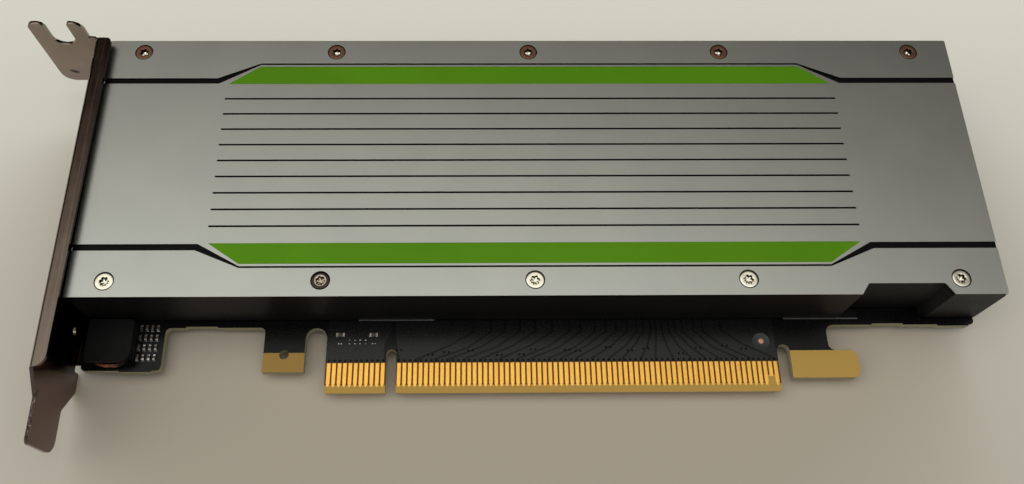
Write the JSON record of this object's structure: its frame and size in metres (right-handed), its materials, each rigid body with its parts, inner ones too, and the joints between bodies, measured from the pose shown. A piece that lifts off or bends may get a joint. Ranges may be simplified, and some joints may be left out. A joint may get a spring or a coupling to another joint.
{
  "type": "passive accelerator card",
  "caption": "Low-profile plug-in accelerator card with a flat grooved metal cover, open rear air duct, edge connector and slot bracket.",
  "frame": {"origin": "centre line of the key slot, on the bottom edge of the edge fingers, on the component face of the board", "axes": "+X along the card away from the slot bracket, +Y up the card away from the fingers, +Z out of the component face"},
  "size_m": [0.1813, 0.0801, 0.0233],
  "materials": {
    "board_mask": "satin",
    "gold": "polished",
    "satin_aluminium": "satin",
    "green_enamel": "satin",
    "screw_steel": "polished",
    "black_anodised": "satin",
    "bare_aluminium": "satin",
    "package_laminate": "matte",
    "silicon": "polished",
    "grey_paste": "matte",
    "moulded_epoxy": "matte",
    "gap_pad": "matte",
    "ferrite": "matte",
    "polymer_case": "matte",
    "copper": "polished",
    "capacitor_ceramic": "matte",
    "nickel_steel": "polished"
  },
  "bodies": {
    "root": {"circuit_board": "board_mask", "contacts_component_side": "gold", "contacts_solder_side": "gold", "top_cover": "satin_aluminium", "band_enamel": "green_enamel", "cover_screws": "screw_steel", "heatsink_body": "black_anodised", "fin_stack": "bare_aluminium", "processor_substrate": "package_laminate", "processor_die": "silicon", "thermal_paste": "grey_paste", "memory_chips": "moulded_epoxy", "memory_pads": "gap_pad", "regulator_inductors": "ferrite", "power_stages": "moulded_epoxy", "polymer_capacitors": "polymer_case", "controller_chips": "moulded_epoxy", "choke_core": "ferrite", "choke_winding": "copper", "ceramic_capacitors": "capacitor_ceramic", "rear_capacitors": "capacitor_ceramic", "board_screws": "screw_steel", "bracket_screws": "screw_steel", "clamp_screws": "screw_steel", "clamp_washers": "screw_steel", "slot_bracket": "nickel_steel"}
  },
  "joints": []
}
